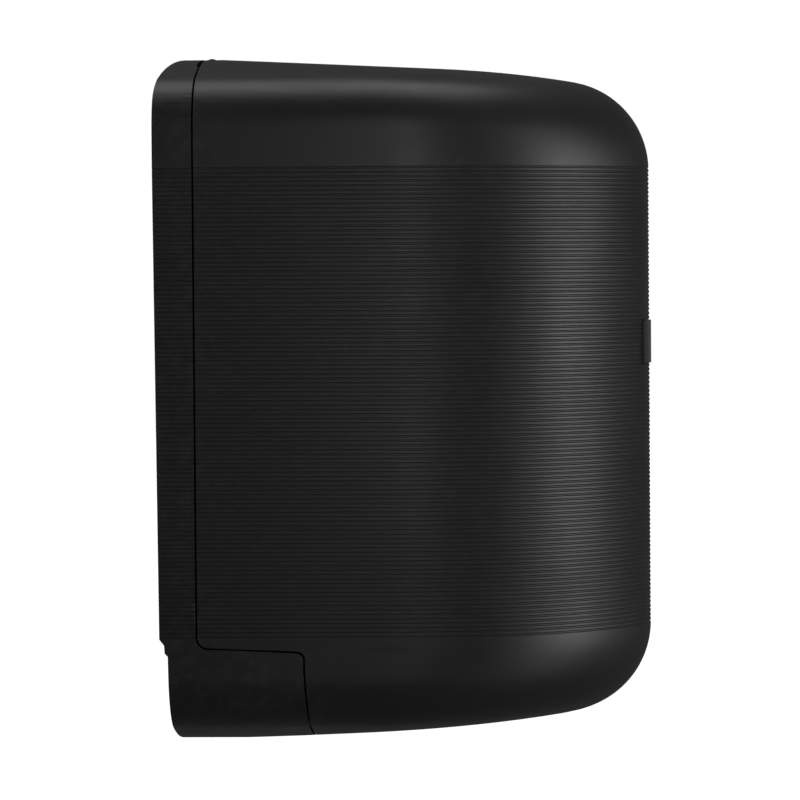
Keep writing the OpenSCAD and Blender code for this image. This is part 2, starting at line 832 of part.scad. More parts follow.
module pump_body() color([0.85, 0.85, 0.82])
    difference() {
        union() {
            block(-pump_half, pump_half, pump_back, pump_front,
                pump_bottom, pump_top);
            rod_z(0, pump_d, 6, pump_top - 1, pump_top + 3);
            rod_z(0, pump_d, port_r + 1, pump_top, pump_top + 8);
            rod_z(0, pump_d, 6, pump_bottom - 3, pump_bottom + 1);
            rod_z(0, pump_d, port_r + 1, pump_bottom - 8, pump_bottom);
        }
        // gear chamber, open to the front
        for (x = [-1, 1])
            rod_y(x * gear_gap / 2, gear_z, 8.1, pump_back + 3, BIG);
        block(-3, 3, pump_back + 3, pump_front - 2, gear_z - 8, gear_z + 8);
        rod_z(0, pump_d, port_r - 0.9, pump_bottom - 9, pump_top + 9);
        rod_y(-gear_gap / 2, gear_z, shaft_r + run_fit, 0, BIG);
        rod_y(gear_gap / 2, gear_z, axle_r, pump_back + 1, pump_back + 4);
        for (x = [-1, 1], z = [-1, 1])
            rod_y(x * pump_screw_x, gear_z + z * pump_screw_z, 1,
                pump_front - 7, pump_front + 1);
    }

module pump_plate() color([0.85, 0.85, 0.82])
    difference() {
        union() {
            block(-pump_half, pump_half, pump_front, pump_front + 3,
                pump_bottom, pump_top);
            for (x = [-1, 1])
                rod_y(x * gear_gap / 2, gear_z, 4.5, pump_front,
                    pump_front + 4.5);
        }
        rod_y(-gear_gap / 2, gear_z, shaft_r + run_fit, pump_front - 1,
            pump_front + 3);
        rod_y(gear_gap / 2, gear_z, axle_r, pump_front - 1, pump_front + 2);
        for (x = [-1, 1], z = [-1, 1])
            rod_y(x * pump_screw_x, gear_z + z * pump_screw_z, 1.2,
                pump_front - 1, pump_front + 4);
    }

module pump_screws() color([0.7, 0.7, 0.72])
    for (x = [-1, 1], z = [-1, 1])
        screw_y(x * pump_screw_x, gear_z + z * pump_screw_z,
            pump_front + 3, 1, 9, 2);

// A toothed wheel along the depth; "turn" sets which way a tooth points.
module gear(x, turn, d0, d1) {
    tip = 7.85;
    root = 5.95;
    step = 360 / teeth;
    pts = [for (i = [0 : teeth - 1], p = [[-0.31, root], [-0.12, tip],
        [0.12, tip], [0.31, root]])
        let (a = i * step + turn + p[0] * step)
        [p[1] * cos(a), p[1] * sin(a)]];
    translate([x, -d0, gear_z]) rotate([90, 0, 0])
        linear_extrude(d1 - d0) polygon(pts);
}

module drive_gear() color([0.9, 0.88, 0.8]) {
    face = pump_back + 3.6;
    gear(-gear_gap / 2, 0, face, face + gear_width);
    rod_y(-gear_gap / 2, gear_z, shaft_r, motor_back + 9,
        pump_front + 2.6);
}

module idler_gear() color([0.9, 0.88, 0.8]) {
    face = pump_back + 3.6;
    difference() {
        gear(gear_gap / 2, 180 + 180 / teeth, face, face + gear_width);
        rod_y(gear_gap / 2, gear_z, axle_r + run_fit, 0, BIG);
    }
}

module idler_axle() color([0.7, 0.7, 0.72])
    rod_y(gear_gap / 2, gear_z, axle_r, pump_back + 1, pump_front + 2);

// A soft tube pushed over the pipe ends above and below it.
module soft_tube(z0, z1, grip_low, grip_high, r_low, r_high)
    difference() {
        rod_z(0, pump_d, tube_r + 1.6, z0, z1);
        rod_z(0, pump_d, port_r, z0 - 1, z1 + 1);
        rod_z(0, pump_d, r_low, z0 - 1, z0 + grip_low);
        rod_z(0, pump_d, r_high, z1 - grip_high, z1 + 1);
    }

module inlet_tube() color([0.8, 0.82, 0.85, 0.7])
    soft_tube(pump_top + 3.2, shelf_top - 6.2, 5.2, 3.2,
        port_r + 1, tube_r + 0.4);

module outlet_tube() color([0.8, 0.82, 0.85, 0.7])
    soft_tube(-106, pump_bottom - 3.2, 3, 5.2, port_r + 1, port_r + 1);

module nozzle() color([0.15, 0.15, 0.16])
    difference() {
        union() {
            rod_z(0, pump_d, 6, deck_z - 0.6, deck_z + 8.4);
            rod_z(0, pump_d, 8, deck_z + 6.1, deck_z + 8);
            rod_z(0, pump_d, port_r + 1, deck_z + 8, -103.2);
            translate([0, -pump_d, deck_z - 1.8])
                cylinder(h = 2, r1 = 3.4, r2 = 4.6);
        }
        rod_z(0, pump_d, 1.5, deck_z - 3, -100);
        translate([0, -pump_d, deck_z - 2.2])
            cylinder(h = 2, r1 = 2.6, r2 = 1.5);
    }

// ---- lock ----

// The square end of the lock barrel, between two heights.
module lock_end(z0, z1)
    block(lock_x - lock_square, lock_x + lock_square,
        lock_d - lock_square, lock_d + lock_square, z0, z1);

module lock_barrel() color([0.7, 0.7, 0.72])
    difference() {
        union() {
            rod_z(lock_x, lock_d, lock_r, lock_face, cam_z);
            lock_end(cam_z - 1, cam_z + cam_t + 3);
        }
        // keyhole
        block(lock_x - 1, lock_x + 1, lock_d - 3.6, lock_d + 3.6,
            lock_face - 1, lock_face + 9);
    }

// Arm that swings in front of the cover's hook; it rests unlocked.
module lock_cam() color([0.6, 0.6, 0.62])
    difference() {
        union() {
            rod_z(lock_x, lock_d, 5.5, cam_z, cam_z + cam_t);
            block(lock_x - cam_half, lock_x + cam_half, lock_d,
                lock_d + cam_reach, cam_z, cam_z + cam_t);
            rod_z(lock_x, lock_d + cam_reach, cam_half, cam_z,
                cam_z + cam_t);
        }
        lock_end(cam_z - 1, cam_z + cam_t + 1);
    }

module lock_nut() color([0.75, 0.75, 0.77])
    difference() {
        translate([lock_x, -lock_d, cam_z + cam_t])
            cylinder(h = 2.2, r = 5, $fn = 6);
        lock_end(cam_z, cam_z + 10);
    }

rear_housing();
front_cover();
cover_catch();
hinge_pins();
level_window();
window_gasket();
chassis();
soap_tank();
outlet_seal();
fill_cap();
cap_seal();
battery_box();
battery_cells();
battery_contacts();
battery_door();
circuit_board();
board_parts();
switch_body();
power_rocker();
sensor_module();
sensor_lens();
status_lens();
motor();
pump_body();
pump_plate();
drive_gear();
idler_axle();
idler_gear();
inlet_tube();
outlet_tube();
nozzle();
lock_barrel();
lock_cam();
lock_nut();
chassis_screws();
pump_screws();
board_screws();
battery_box_screws();
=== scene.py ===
import json
import math

import bmesh
import bpy
from mathutils import Matrix, Vector

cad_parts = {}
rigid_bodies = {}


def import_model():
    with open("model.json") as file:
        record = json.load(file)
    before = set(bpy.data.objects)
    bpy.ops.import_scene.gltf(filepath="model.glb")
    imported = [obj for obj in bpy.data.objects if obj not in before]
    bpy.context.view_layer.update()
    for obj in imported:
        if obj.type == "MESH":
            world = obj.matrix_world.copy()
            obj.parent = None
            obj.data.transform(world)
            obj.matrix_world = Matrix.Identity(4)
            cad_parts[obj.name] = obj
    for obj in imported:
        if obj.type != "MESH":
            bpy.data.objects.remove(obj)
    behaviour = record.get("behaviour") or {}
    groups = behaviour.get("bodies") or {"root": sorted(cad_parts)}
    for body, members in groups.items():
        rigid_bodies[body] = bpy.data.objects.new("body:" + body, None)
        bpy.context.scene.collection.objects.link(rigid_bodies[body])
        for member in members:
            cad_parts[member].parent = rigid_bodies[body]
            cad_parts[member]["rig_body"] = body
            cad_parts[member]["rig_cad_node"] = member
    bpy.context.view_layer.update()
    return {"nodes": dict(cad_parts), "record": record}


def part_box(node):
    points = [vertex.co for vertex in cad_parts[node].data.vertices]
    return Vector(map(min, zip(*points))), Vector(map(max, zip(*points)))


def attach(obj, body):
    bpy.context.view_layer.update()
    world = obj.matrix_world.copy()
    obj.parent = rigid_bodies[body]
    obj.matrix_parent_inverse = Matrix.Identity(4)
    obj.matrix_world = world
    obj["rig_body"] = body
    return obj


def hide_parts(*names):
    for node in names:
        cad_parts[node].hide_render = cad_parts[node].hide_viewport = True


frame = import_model()

MM = 0.001

# ---------------------------------------------------------------------------
# The case, in millimetres, with the same outlines as the CAD solids.
# "depth" is the distance from the wall, "z" the height over the middle.
# ---------------------------------------------------------------------------
HALF_H, HALF_W, DEPTH = 125.6, 69.0, 177.5
STRIP, GAP, WALL = 14.1, 0.7, 2.4
REAR = STRIP + GAP

# plan outline: a straight side, then a flank arc, then the nose arc
NOSE_R, SIDE_END = 38.0, 85.0
NOSE_C = DEPTH - NOSE_R
FLANK_R = (HALF_W ** 2 + (NOSE_C - SIDE_END) ** 2 - NOSE_R ** 2) / (2 * (HALF_W - NOSE_R))
FLANK_C = HALF_W - FLANK_R
NOSE_START = NOSE_C + NOSE_R * (NOSE_C - SIDE_END) / math.hypot(FLANK_C, NOSE_C - SIDE_END)

# side outline: a sloping top, then the crown arc, then the shoulder arc
TAPER_END, TAPER_DROP = 104.99, 4.5
TAPER_H = HALF_H - TAPER_DROP
TAPER = math.atan(TAPER_DROP / (TAPER_END - STRIP))
CROWN_R = 373.0
CROWN_D = TAPER_END - CROWN_R * math.sin(TAPER)
CROWN_Z = TAPER_H - CROWN_R * math.cos(TAPER)
SHOULDER_R = 33.0
SHOULDER_D = DEPTH - SHOULDER_R
SHOULDER_Z = CROWN_Z + math.sqrt((CROWN_R - SHOULDER_R) ** 2 - (SHOULDER_D - CROWN_D) ** 2)

# front outline: straight sides, then a corner arc, then the arch over the top
CORNER_R = 20.0
CORNER_X, CORNER_Z = HALF_W - CORNER_R, HALF_H - 27.6
ARCH_RISE = HALF_H - CORNER_Z
ARCH_R = (CORNER_X ** 2 + ARCH_RISE ** 2 - CORNER_R ** 2) / (2 * (ARCH_RISE - CORNER_R))
ARCH_Z = HALF_H - ARCH_R

# the housing's lower block, which the cover goes round
BLOCK_TOP, BLOCK_SLOPE, BLOCK_D = -87.8, 1.2, 52.6
LEAN_FROM, BLOCK_LEAN = -96.0, 2.0
BLOCK_CORNER, FILLET = 3.0, 4.6

# grooves: the highest edge, how many, their spacing and their depth, then the parts of one
# spacing at which a groove starts, reaches its floor and leaves it
RIB_TOP, RIBS, PITCH, RIB_DEEP = 84.6, 106, 1.596, 0.25
RIB_LOW = RIB_TOP - RIBS * PITCH
GROOVE_IN, FLOOR_LOW, FLOOR_HIGH = 0.40, 0.62, 0.80

# the cover's openings, its hinge lugs and the studs that hold the catch
SLOT_HALF, SLOT_D = 24.8, 113.8
NOTCH_IN, NOTCH_OUT, NOTCH_D = 4.7, 15.3, 20.2
WINDOW_HALF, WINDOW_Z, WINDOW_HALF_H, WINDOW_CORNER = 14.7, 20.3, 8.05, 1.2
HINGE_D, HINGE_Z = 17.2, 122.9
LUG_R, LUG_OUT, LUG_WEB = 2.4, 20.2, 9.0
LUG_TOP_MID, LUG_TOP_SIDE = 124.9, 124.2
STUD_X, STUD_DEPTHS = 38.0, (60, 68)

# how far cutters reach: through the underside, through the top and through the nose
UNDERSIDE, TOP, NOSE = (-200, -100), (100, 200), (150, 220)


def side_depth(z, s):
    """How far the side outline reaches from the wall at height z, moved in by s."""
    z = abs(z)
    drop = s / math.cos(TAPER)
    if z <= SHOULDER_Z:
        return DEPTH - s
    tangent_z = CROWN_Z + (CROWN_R - s) * (SHOULDER_Z - CROWN_Z) / (CROWN_R - SHOULDER_R)
    if z <= tangent_z:
        return SHOULDER_D + math.sqrt(max((SHOULDER_R - s) ** 2 - (z - SHOULDER_Z) ** 2, 0))
    if z <= TAPER_H - drop:
        return CROWN_D + math.sqrt(max((CROWN_R - s) ** 2 - (z - CROWN_Z) ** 2, 0))
    return TAPER_END - (z - (TAPER_H - drop)) * (TAPER_END - STRIP) / TAPER_DROP


def front_half(z, s):
    """Half width of the front outline at height z, moved in by s."""
    z = abs(z)
    if z <= CORNER_Z:
        return HALF_W - s
    tangent_z = ARCH_Z + (ARCH_R - s) * (CORNER_Z - ARCH_Z) / (ARCH_R - CORNER_R)
    if z <= tangent_z:
        return CORNER_X + math.sqrt(max((CORNER_R - s) ** 2 - (z - CORNER_Z) ** 2, 0))
    return math.sqrt(max((ARCH_R - s) ** 2 - (z - ARCH_Z) ** 2, 0))


def plan_line(s, steps=900):
    """The plan outline, moved in by s, from the rear edge to the nose as (x, depth, run so far)."""
    straight = SIDE_END - REAR
    a_end = math.asin((NOSE_START - SIDE_END) / FLANK_R)
    flank = (FLANK_R - s) * a_end
    nose = (NOSE_R - s) * (math.pi / 2 - a_end)
    total = straight + flank + nose
    out = []
    for i in range(steps):
        run = i / steps * total
        if run <= straight:
            out.append((HALF_W - s, REAR + run, run))
        elif run <= straight + flank:
            a = (run - straight) / (FLANK_R - s)
            x = FLANK_C + (FLANK_R - s) * math.cos(a)
            out.append((x, SIDE_END + (FLANK_R - s) * math.sin(a), run))
        else:
            a = a_end + (run - straight - flank) / (NOSE_R - s)
            out.append(((NOSE_R - s) * math.cos(a), NOSE_C + (NOSE_R - s) * math.sin(a), run))
    out.append((0.0, DEPTH - s, total))
    return out


LINES = {s: plan_line(s) for s in (0.0, WALL)}


def at_depth(line, d):
    """Run along the outline at which it reaches depth d."""
    lo, hi = 0, len(line) - 1
    if d <= line[0][1]:
        return line[0][2]
    while hi - lo > 1:
        mid = (lo + hi) // 2
        if line[mid][1] < d:
            lo = mid
        else:
            hi = mid
    a, b = line[lo], line[hi]
    f = (d - a[1]) / max(b[1] - a[1], 1e-9)
    return a[2] + (b[2] - a[2]) * min(max(f, 0), 1)


def at_run(line, run):
    """The outline's x and depth at a run."""
    total = line[-1][2]
    f = min(max(run / total, 0), 1) * (len(line) - 1)
    i = min(int(f), len(line) - 2)
    a, b = line[i], line[i + 1]
    f -= i
    return a[0] + (b[0] - a[0]) * f, a[1] + (b[1] - a[1]) * f


def cover_start(z):
    """Depth of the cover's rear edge at height z: the strip seam, then round the block."""
    top = BLOCK_TOP + GAP
    r = FILLET - GAP
    c = BLOCK_TOP + FILLET
    if z >= c:
        return REAR
    if z >= top:
        return STRIP + FILLET - math.sqrt(max(r * r - (z - c) ** 2, 0))
    front = BLOCK_D + GAP
    low = top - BLOCK_SLOPE
    if z > low:
        f = (top - z) / BLOCK_SLOPE
        return STRIP + FILLET + f * (front - BLOCK_CORNER - STRIP - FILLET)
    if z > low - BLOCK_CORNER:
        up = z - (low - BLOCK_CORNER)
        return front - BLOCK_CORNER + math.sqrt(max(BLOCK_CORNER ** 2 - up ** 2, 0))
    if z > LEAN_FROM:
        return front
    return front + BLOCK_LEAN * (LEAN_FROM - z) / (HALF_H + 2 + LEAN_FROM)


def columns(on_flat=7, on_bend=44):
    """Parts of half of the outline at which the skin has its columns, closer where it bends."""
    flat = (SIDE_END - REAR) / LINES[0.0][-1][2]
    cols = [flat * i / on_flat for i in range(on_flat)]
    return cols + [flat + (1 - flat) * i / on_bend for i in range(on_bend + 1)]


COLS = columns()


def square_to(line, run, step=0.05):
    """Direction out of the outline at a run, as (x, depth)."""
    total = line[-1][2]
    if run >= total:
        return 0.0, 1.0
    x2, d2 = at_run(line, min(run + step, total))
    x1, d1 = at_run(line, max(run - step, 0))
    n = math.hypot(x2 - x1, d2 - d1)
    return (d2 - d1) / n, -(x2 - x1) / n


def row_points(z, s, groove=0.0):
    """One level line of the skin at height z: from the rear edge round the nose and back."""
    line = LINES[s]
    ratio = front_half(z, s) / (HALF_W - s)
    q = (side_depth(z, s) - REAR) / (DEPTH - s - REAR)
    start = cover_start(z)
    run0 = at_depth(line, REAR + (start - REAR) / max(q, 1e-6)) if start > REAR else 0.0
    total = line[-1][2]
    half = []
    for c in COLS:
        run = run0 + (total - run0) * c
        x, d = at_run(line, run)
        if groove:
            nx, nd = square_to(line, run)
            x, d = x - nx * groove, d - nd * groove
        half.append((x * ratio, REAR + (d - REAR) * q))
    half[-1] = (0.0, half[-1][1])
    return [(x, d, z) for x, d in half] + [(-x, d, z) for x, d in reversed(half[:-1])]


def inner_z(z):
    """Height of the inside level line that goes with the outside one at z."""
    a = abs(z)
    if a <= CORNER_Z:
        return z
    f = (a - CORNER_Z) / (HALF_H - CORNER_Z)
    return math.copysign(CORNER_Z + f * (HALF_H - WALL - CORNER_Z), z)


def quarter(n, whole=False):
    """Angles that run through a quarter turn in n values, with its end or without."""
    return [math.pi / 2 * i / (n - 1 if whole else n) for i in range(n)]


def levels():
    """Heights of the skin's level lines, each with the groove's depth there."""
    at_block = TAPER_DROP * (BLOCK_D + GAP + BLOCK_LEAN - STRIP) / (TAPER_END - STRIP)
    low_end = at_block - HALF_H + 0.02
    shoulder = TAPER_H - CORNER_Z
    # underside, lower shoulder and the block's seam
    flat = [low_end * math.cos(a) - TAPER_H * (1 - math.cos(a)) for a in quarter(14)]
    flat += [-(CORNER_Z + shoulder * math.cos(a)) for a in quarter(26)]
    flat += [BLOCK_TOP + up for up in (-8.6, -6.6, -4.6, -3.6, -3.0, -2.3, -1.6, -1.1, -0.7, -0.49, -0.3,
                                       -0.05, 0.2, 0.45, 0.695, 0.8, 1.1, 1.6, 2.3, 2.9)]
    # between the grooves and the shoulder, upper shoulder and top
    above = RIB_TOP + 0.02
    flat += [above + (CORNER_Z - above) * i / 9 for i in range(9)]
    flat += [CORNER_Z + shoulder * math.sin(a) for a in quarter(30)]
    flat += [TAPER_H + (HALF_H - 0.03 - TAPER_H) * math.sin(a) for a in quarter(22, whole=True)]
    out = [(z, 0.0) for z in flat]
    shape = ((0.0, 0.0), (GROOVE_IN, 0.0), (0.52, 0.6), (FLOOR_LOW, 1.0), (FLOOR_HIGH, 1.0), (0.90, 0.6))
    for k in range(RIBS):
        for part, deep in shape:
            out.append((RIB_LOW + (k + part) * PITCH, deep * RIB_DEEP))
    return sorted(out)


def mesh_object(name, verts, faces, smooth=True):
    """A new piece from its points, in metres, and its faces."""
    me = bpy.data.meshes.new(name)
    me.from_pydata(verts, [], faces)
    me.validate()
    o = bpy.data.objects.new(name, me)
    bpy.context.scene.collection.objects.link(o)
    for p in me.polygons:
        p.use_smooth = smooth
    return o


def fix_normals(o):
    """Turns all the faces of a closed piece outwards."""
    bm = bmesh.new()
    bm.from_mesh(o.data)
    bmesh.ops.recalc_face_normals(bm, faces=bm.faces)
    bm.to_mesh(o.data)
    bm.free()


def sharp_by_angle(o, degrees):
    """Smooth shading that keeps the hard edges hard."""
    me = o.data
    for p in me.polygons:
        p.use_smooth = True
    me.set_sharp_from_angle(angle=math.radians(degrees))


def shell():
    """The cover's skin: an outside and an inside grid of level lines, joined along their rims."""
    rows = levels()
    outer = [row_points(z, 0.0, g) for z, g in rows]
    inner = [row_points(inner_z(z), WALL) for z, g in rows]
    nr, nc = len(rows), len(outer[0])
    verts = [(x * MM, -d * MM, z * MM) for grid in (outer, inner) for row in grid for x, d, z in row]
    faces = []

    def out(r, c):
        return r * nc + c

    def ins(r, c):
        return nr * nc + r * nc + c

    for r in range(nr - 1):
        for c in range(nc - 1):
            faces.append((out(r, c), out(r, c + 1), out(r + 1, c + 1), out(r + 1, c)))
            faces.append((ins(r, c), ins(r + 1, c), ins(r + 1, c + 1), ins(r, c + 1)))
        for c in (0, nc - 1):
            faces.append((out(r, c), out(r + 1, c), ins(r + 1, c), ins(r, c)))
    for c in range(nc - 1):
        for r in (0, nr - 1):
            faces.append((out(r, c), out(r, c + 1), ins(r, c + 1), ins(r, c)))
    o = mesh_object("cover_shell", verts, faces)
    fix_normals(o)
    return o


def box_mesh(bm, x0, x1, d0, d1, z0, z1):
    """Adds one box."""
    vs = [bm.verts.new((x * MM, -d * MM, z * MM)) for x in (x0, x1) for d in (d1, d0) for z in (z0, z1)]
    for f in ((0, 1, 3, 2), (4, 6, 7, 5), (0, 4, 5, 1), (2, 3, 7, 6), (0, 2, 6, 4), (1, 5, 7, 3)):
        bm.faces.new([vs[i] for i in f])


def from_bmesh(name, bm):
    """Makes a piece of a finished bmesh."""
    bmesh.ops.recalc_face_normals(bm, faces=bm.faces)
    me = bpy.data.meshes.new(name)
    bm.to_mesh(me)
    bm.free()
    o = bpy.data.objects.new(name, me)
    bpy.context.scene.collection.objects.link(o)
    return o


def boxes(name, *sizes):
    """Boxes as one piece, each given as x0, x1, depth0, depth1, z0, z1."""
    bm = bmesh.new()
    for size in sizes:
        box_mesh(bm, *size)
    return from_bmesh(name, bm)


def cut(o, cutter, solver="MANIFOLD"):
    """Cuts a shape out of a piece for good and drops the cutter."""
    m = o.modifiers.new("cut", "BOOLEAN")
    m.operation = "DIFFERENCE"
    m.object = cutter
    m.solver = solver
    bpy.context.view_layer.update()
    dg = bpy.context.evaluated_depsgraph_get()
    new = bpy.data.meshes.new_from_object(o.evaluated_get(dg))
    o.modifiers.remove(m)
    old = o.data
    o.data = new
    bpy.data.meshes.remove(old)
    bpy.data.objects.remove(cutter)


def prism(name, pts, axis, lo, hi):
    """Extrudes a closed outline of (x, z) along the depth, or of (depth, z) along x."""
    if axis == "depth":
        verts = [(a * MM, -h * MM, b * MM) for h in (lo, hi) for a, b in pts]
    else:
        verts = [(h * MM, -a * MM, b * MM) for h in (lo, hi) for a, b in pts]
    n = len(pts)
    faces = [tuple(range(n)), tuple(range(2 * n - 1, n - 1, -1))]
    faces += [(i, n + i, n + (i + 1) % n, (i + 1) % n) for i in range(n)]
    o = mesh_object(name, verts, faces, False)
    fix_normals(o)
    return o


def rounded_rect(x0, x1, z0, z1, r, n=6):
    """Outline of a rectangle with corner arcs of n steps."""
    out = []
    corners = ((x1 - r, z1 - r), (x0 + r, z1 - r), (x0 + r, z0 + r), (x1 - r, z0 + r))
    for k, (cx, cz) in enumerate(corners):
        for i in range(n + 1):
            a = math.radians(90 * (k + i / n))
            out.append((cx + r * math.cos(a), cz + r * math.sin(a)))
    return out


# ---------------------------------------------------------------------------
# Materials
# ---------------------------------------------------------------------------
def material(name):
    """A new node material with its tree and its shader."""
    m = bpy.data.materials.new(name)
    m.use_nodes = True
    return m, m.node_tree, m.node_tree.nodes["Principled BSDF"]


def noise(nt, coords, scale, detail=3.0, rough=0.5):
    """Noise texture's value on the given coordinates."""
    n = nt.nodes.new("ShaderNodeTexNoise")
    n.inputs["Scale"].default_value = scale
    n.inputs["Detail"].default_value = detail
    n.inputs["Roughness"].default_value = rough
    nt.links.new(coords, n.inputs["Vector"])
    return n.outputs["Fac"]


def ramp(nt, fac, low, high):
    """Colour of a ramp between two stops, each a position and a colour."""
    r = nt.nodes.new("ShaderNodeValToRGB")
    nt.links.new(fac, r.inputs["Fac"])
    for e, (at, colour) in zip(r.color_ramp.elements, (low, high)):
        e.position = at
        e.color = (*colour, 1)
    return r.outputs["Color"]


def maths(nt, operation, first, second, third=None):
    """Result of a maths node. Its inputs are sockets, or a number for the second."""
    n = nt.nodes.new("ShaderNodeMath")
    n.operation = operation
    nt.links.new(first, n.inputs[0])
    if isinstance(second, float):
        n.inputs[1].default_value = second
    else:
        nt.links.new(second, n.inputs[1])
    if third is not None:
        nt.links.new(third, n.inputs[2])
    return n.outputs[0]


def stretched(nt, coords, scale):
    """Coordinates scaled on each axis by itself, which draws a noise out into lines."""
    n = nt.nodes.new("ShaderNodeMapping")
    n.inputs["Scale"].default_value = scale
    nt.links.new(coords, n.inputs["Vector"])
    return n.outputs["Vector"]


def map_range(nt, value, lo, hi, a, b):
    """Maps a value from a..b to lo..hi."""
    n = nt.nodes.new("ShaderNodeMapRange")
    n.inputs["From Min"].default_value = a
    n.inputs["From Max"].default_value = b
    n.inputs["To Min"].default_value = lo
    n.inputs["To Max"].default_value = hi
    nt.links.new(value, n.inputs["Value"])
    return n.outputs["Result"]


def bump(nt, height, strength, distance, after=None):
    """Normal of a bump, on top of another one if it is given."""
    n = nt.nodes.new("ShaderNodeBump")
    n.inputs["Strength"].default_value = strength
    n.inputs["Distance"].default_value = distance
    nt.links.new(height, n.inputs["Height"])
    if after is not None:
        nt.links.new(after, n.inputs["Normal"])
    return n.outputs["Normal"]


GRAIN, GRAIN_DEPTH = 2600.0, 0.00002
BLACK, WHITE = (0, 0, 0), (1, 1, 1)


def edge_wear(nt, obj, colour, worn, amount):
    """Mixes a paler colour in on the piece's outer edges, broken up by noise."""
    geo = nt.nodes.new("ShaderNodeNewGeometry")
    edge = ramp(nt, geo.outputs["Pointiness"], (0.505, BLACK), (0.56, WHITE))
    breakup = noise(nt, obj, 220.0, 4.0, 0.7)
    patches = ramp(nt, breakup, (0.45, BLACK), (0.65, WHITE))
    both = maths(nt, "MULTIPLY", edge, patches)
    mix = nt.nodes.new("ShaderNodeMix")
    mix.data_type = "RGBA"
    nt.links.new(maths(nt, "MULTIPLY", both, amount), mix.inputs["Factor"])
    nt.links.new(colour, mix.inputs["A"])
    mix.inputs["B"].default_value = (*worn, 1)
    return mix.outputs["Result"]


def moulded(name, dark, light, rough_lo, rough_hi, grain_strength=0.25, specular=0.5, wear=0.0,
            subsurface=0.0, coat=0.0):
    """Moulded plastic: fine spark grain, slow tone and gloss drift, hairline rubs and edge wear."""
    m, nt, b = material(name)
    obj = nt.nodes.new("ShaderNodeTexCoord").outputs["Object"]
    slow = noise(nt, obj, 14.0, 4.0, 0.55)
    fine = noise(nt, obj, GRAIN, 2.0, 0.6)
    colour = ramp(nt, slow, (0.32, dark), (0.68, light))
    if wear:
        colour = edge_wear(nt, obj, colour, [min(1, c * 2.2 + 0.02) for c in light], wear)
    nt.links.new(colour, b.inputs["Base Color"])
    # rubs: flat streaks of noise over slow smears
    rub = noise(nt, stretched(nt, obj, (60, 60, 900)), 1.0, 3.0, 0.6)
    smear = noise(nt, obj, 32.0, 5.0, 0.6)
    gloss = maths(nt, "MULTIPLY_ADD", rub, 0.35, smear)
    nt.links.new(map_range(nt, gloss, rough_lo, rough_hi, 0.35, 1.0), b.inputs["Roughness"])
    b.inputs["Specular IOR Level"].default_value = specular
    if coat:
        b.inputs["Coat Weight"].default_value = coat
        b.inputs["Coat Roughness"].default_value = 0.12
    grain = bump(nt, fine, grain_strength, GRAIN_DEPTH)
    waves = bump(nt, slow, 0.05, 0.0002, grain)
    nt.links.new(waves, b.inputs["Normal"])
    if subsurface:
        b.inputs["Subsurface Weight"].default_value = subsurface
        b.inputs["Subsurface Radius"].default_value = (0.002, 0.002, 0.002)
        b.inputs["Subsurface Scale"].default_value = 0.5
    return m


def metal(name, base, rough_lo, rough_hi, stretch=(40, 40, 1600)):
    """Plated or rolled metal with drawn lines and stains."""
    m, nt, b = material(name)
    obj = nt.nodes.new("ShaderNodeTexCoord").outputs["Object"]
    lines = noise(nt, stretched(nt, obj, stretch), 1.0, 4.0, 0.6)
    stain = noise(nt, obj, 90.0, 5.0, 0.6)
    tone = ramp(nt, stain, (0.3, tuple(c * 0.82 for c in base)), (0.7, base))
    nt.links.new(tone, b.inputs["Base Color"])
    b.inputs["Metallic"].default_value = 1.0
    nt.links.new(map_range(nt, lines, rough_lo, rough_hi, 0.25, 0.75), b.inputs["Roughness"])
    drawn = bump(nt, lines, 0.2, 0.00001)
    nt.links.new(drawn, b.inputs["Normal"])
    return m


def see_through(name, tint, rough_lo, rough_hi, alpha):
    """Milky moulded plastic that lets the parts behind show faintly."""
    m, nt, b = material(name)
    obj = nt.nodes.new("ShaderNodeTexCoord").outputs["Object"]
    slow = noise(nt, obj, 22.0, 4.0, 0.55)
    flow = noise(nt, obj, 160.0, 3.0, 0.6)
    tone = ramp(nt, slow, (0.3, tuple(c * 0.93 for c in tint)), (0.7, tint))
    nt.links.new(tone, b.inputs["Base Color"])
    nt.links.new(map_range(nt, flow, rough_lo, rough_hi, 0.3, 0.7), b.inputs["Roughness"])
    ripple = bump(nt, flow, 0.15, 0.00004)
    nt.links.new(ripple, b.inputs["Normal"])
    b.inputs["Alpha"].default_value = alpha
    b.inputs["IOR"].default_value = 1.5
    return m


